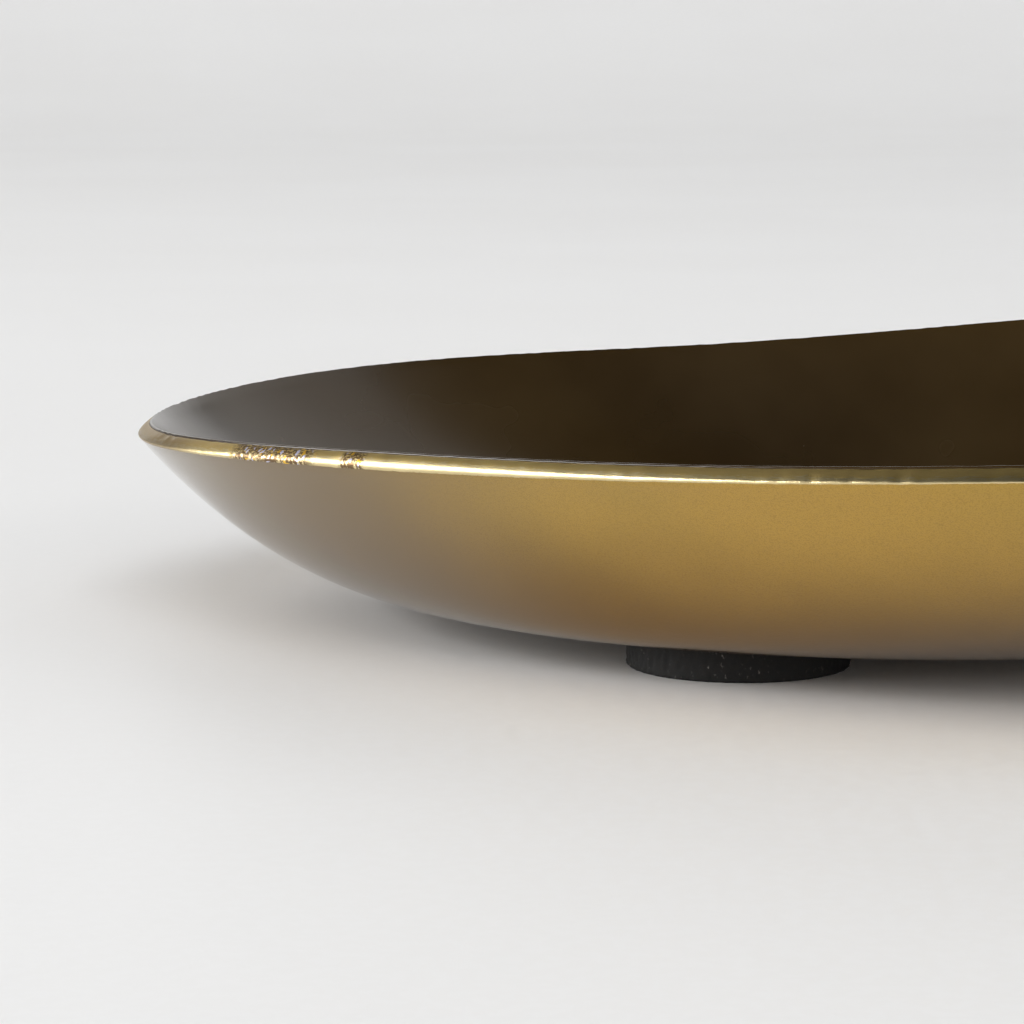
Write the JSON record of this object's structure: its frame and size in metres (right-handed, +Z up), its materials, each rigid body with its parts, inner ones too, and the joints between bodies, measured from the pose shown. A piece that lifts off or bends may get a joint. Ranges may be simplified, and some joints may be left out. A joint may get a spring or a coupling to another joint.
{
  "type": "tray",
  "caption": "Shallow uneven oval brass dish tray with an outward-leaning wall, square-cut rim, dark enamelled inside and round rubber pads under a flat base.",
  "frame": {"origin": "centre of the bounding box, on the plane that the pads stand on", "axes": "+Z up; +X along the tray's longer dimension towards its higher end; +Y across the tray"},
  "size_m": [0.1578, 0.1273, 0.0262],
  "materials": {
    "brass": "satin lacquered brass with a fine grain, bare polished rim",
    "dark_enamel": "dark brown-black coat, satin gloss",
    "black_rubber": "matt, slightly dusty",
    "adhesive": "thin double-sided tape"
  },
  "bodies": {
    "root": {"tray_shell": "brass", "enamel_lining": "dark_enamel", "foot_pad_1": "black_rubber", "foot_pad_2": "black_rubber", "foot_pad_3": "black_rubber", "foot_pad_4": "black_rubber", "pad_adhesive_1": "adhesive", "pad_adhesive_2": "adhesive", "pad_adhesive_3": "adhesive", "pad_adhesive_4": "adhesive"}
  },
  "joints": []
}
